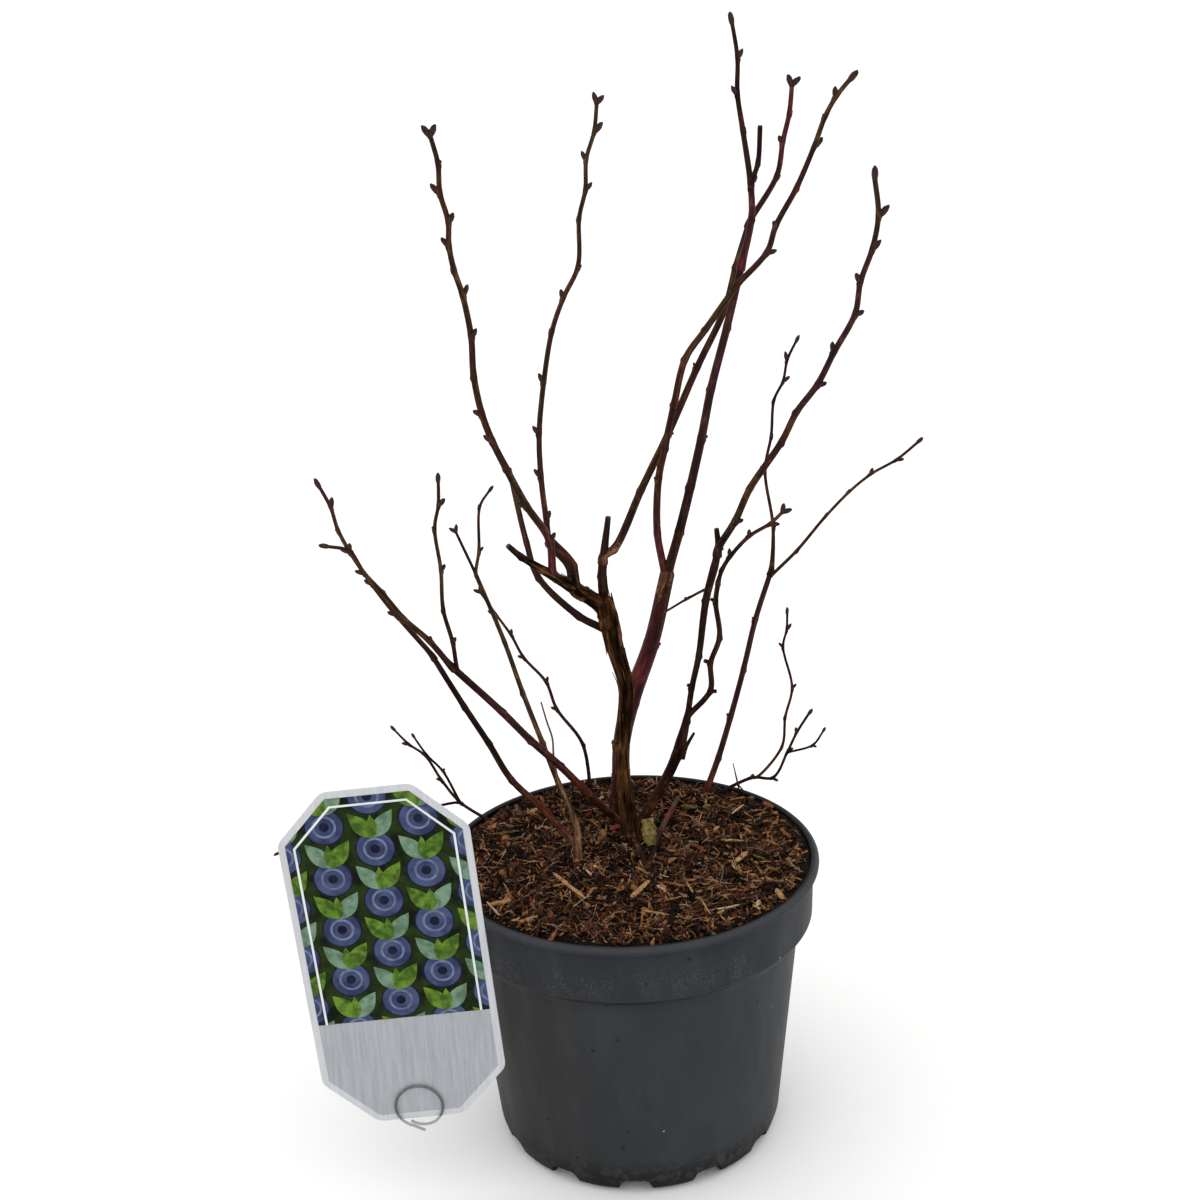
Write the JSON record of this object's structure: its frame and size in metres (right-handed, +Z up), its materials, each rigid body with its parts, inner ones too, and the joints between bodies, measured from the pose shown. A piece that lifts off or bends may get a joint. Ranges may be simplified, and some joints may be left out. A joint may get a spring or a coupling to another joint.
{
  "type": "potted bare blueberry bush",
  "caption": "Leafless many-stemmed blueberry bush with budded twigs, in a filled round nursery pot with a blank picture card at its rim.",
  "frame": {"origin": "middle of the pot's flat underside, on the ground", "axes": "+Z up the pot's axis; +X to the right as seen from the front; +Y to the back, away from the picture card"},
  "size_m": [0.3391, 0.2095, 0.5524],
  "materials": {
    "pot_plastic": "moulded matt polypropylene, dark slate grey",
    "bark_mulch": "damp bark fines and coir fibre, red brown",
    "old_bark": "grey brown fissured bark",
    "red_bark": "smooth wine red bark",
    "cane_bark": "smooth olive brown bark",
    "twig_bark": "thin brown twig bark with pointed buds",
    "card": "printed satin plastic card",
    "clear_plastic": "clear moulded plastic"
  },
  "bodies": {
    "root": {"pot": "pot_plastic", "bark_mulch": "bark_mulch", "picture_card": "card", "card_strap": "clear_plastic", "card_ring": "clear_plastic", "trunk": "old_bark", "red_cane": "red_bark", "centre_cane": "red_bark", "crossing_cane": "cane_bark", "trunk_spur": "old_bark", "green_cane": "cane_bark", "left_bough": "old_bark", "red_spur": "old_bark", "back_bough": "red_bark", "right_cane": "cane_bark", "knotted_cane": "old_bark", "slim_cane": "red_bark", "long_left_cane": "red_bark", "short_left_cane": "cane_bark", "fine_left_cane": "cane_bark", "twigs_left_tall": "twig_bark", "twigs_left_inner": "twig_bark", "twigs_leader": "twig_bark", "twigs_upper_right": "twig_bark", "twigs_right_arch": "twig_bark", "twigs_right_tall": "twig_bark", "twigs_knotted": "twig_bark", "twigs_slim": "twig_bark", "twigs_far_right": "twig_bark", "twigs_left_upright": "twig_bark", "twigs_far_left_low": "twig_bark", "twigs_far_left_high": "twig_bark", "twigs_fine_left": "twig_bark", "twigs_back_left": "twig_bark", "twigs_rim_left": "twig_bark", "twigs_rim_right": "twig_bark", "twigs_cross": "twig_bark"}
  },
  "joints": []
}
